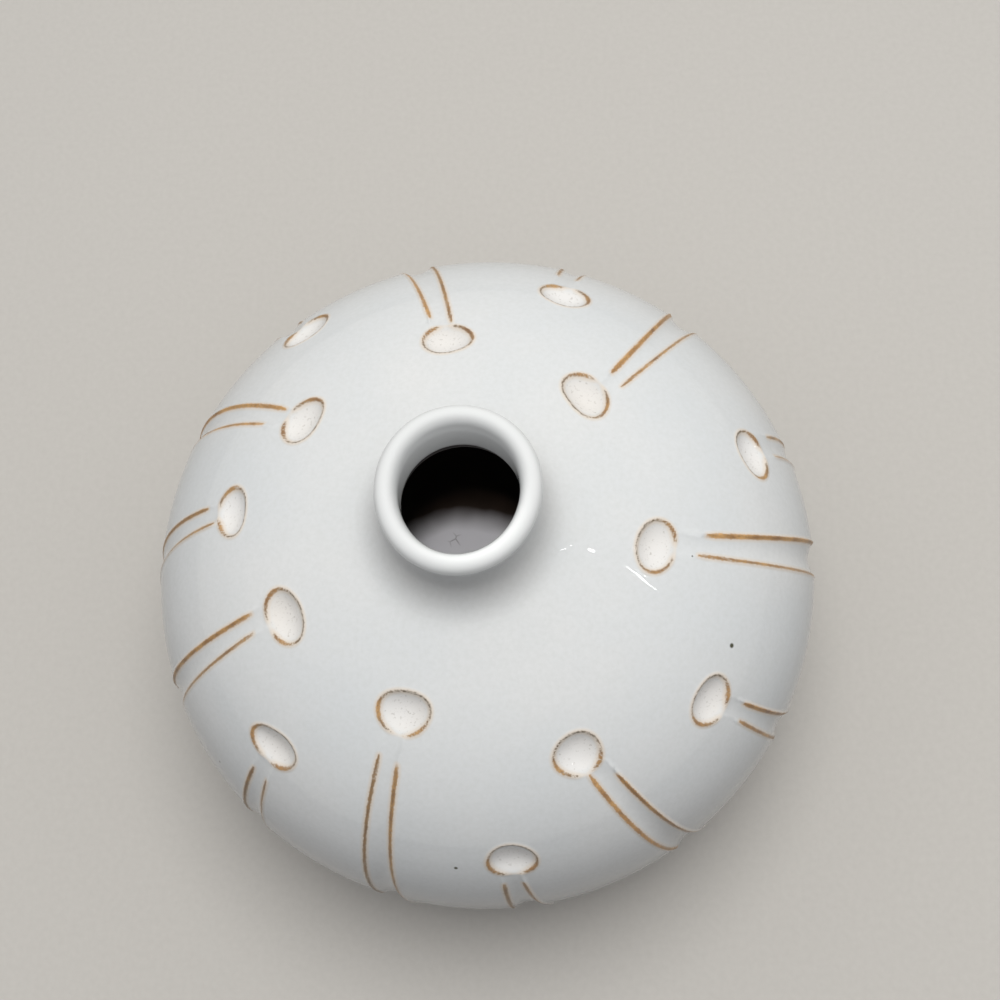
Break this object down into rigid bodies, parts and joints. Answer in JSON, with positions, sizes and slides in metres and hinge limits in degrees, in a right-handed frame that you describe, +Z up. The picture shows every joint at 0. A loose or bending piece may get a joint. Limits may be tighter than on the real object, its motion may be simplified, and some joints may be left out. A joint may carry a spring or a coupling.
{
  "type": "pillow vase",
  "caption": "Squat round stoneware vase with a short beaded neck, thumb-pressed dimples on its dome and gouged flutes running over its belly.",
  "frame": {"origin": "centre of the face that the foot ring rests on", "axes": "+Z up along the vase's own axis, out of its neck; -Y is the pictured front"},
  "size_m": [0.14, 0.14, 0.105],
  "materials": {
    "glaze": "glossy pale celadon-white glaze that breaks to iron brown on cut edges",
    "bare_clay": "unglazed stoneware, fired to a toasted buff"
  },
  "bodies": {
    "root": {"lower_bowl": "glaze", "upper_dome": "glaze", "neck_collar": "glaze", "foot_ring": "bare_clay"}
  },
  "joints": []
}
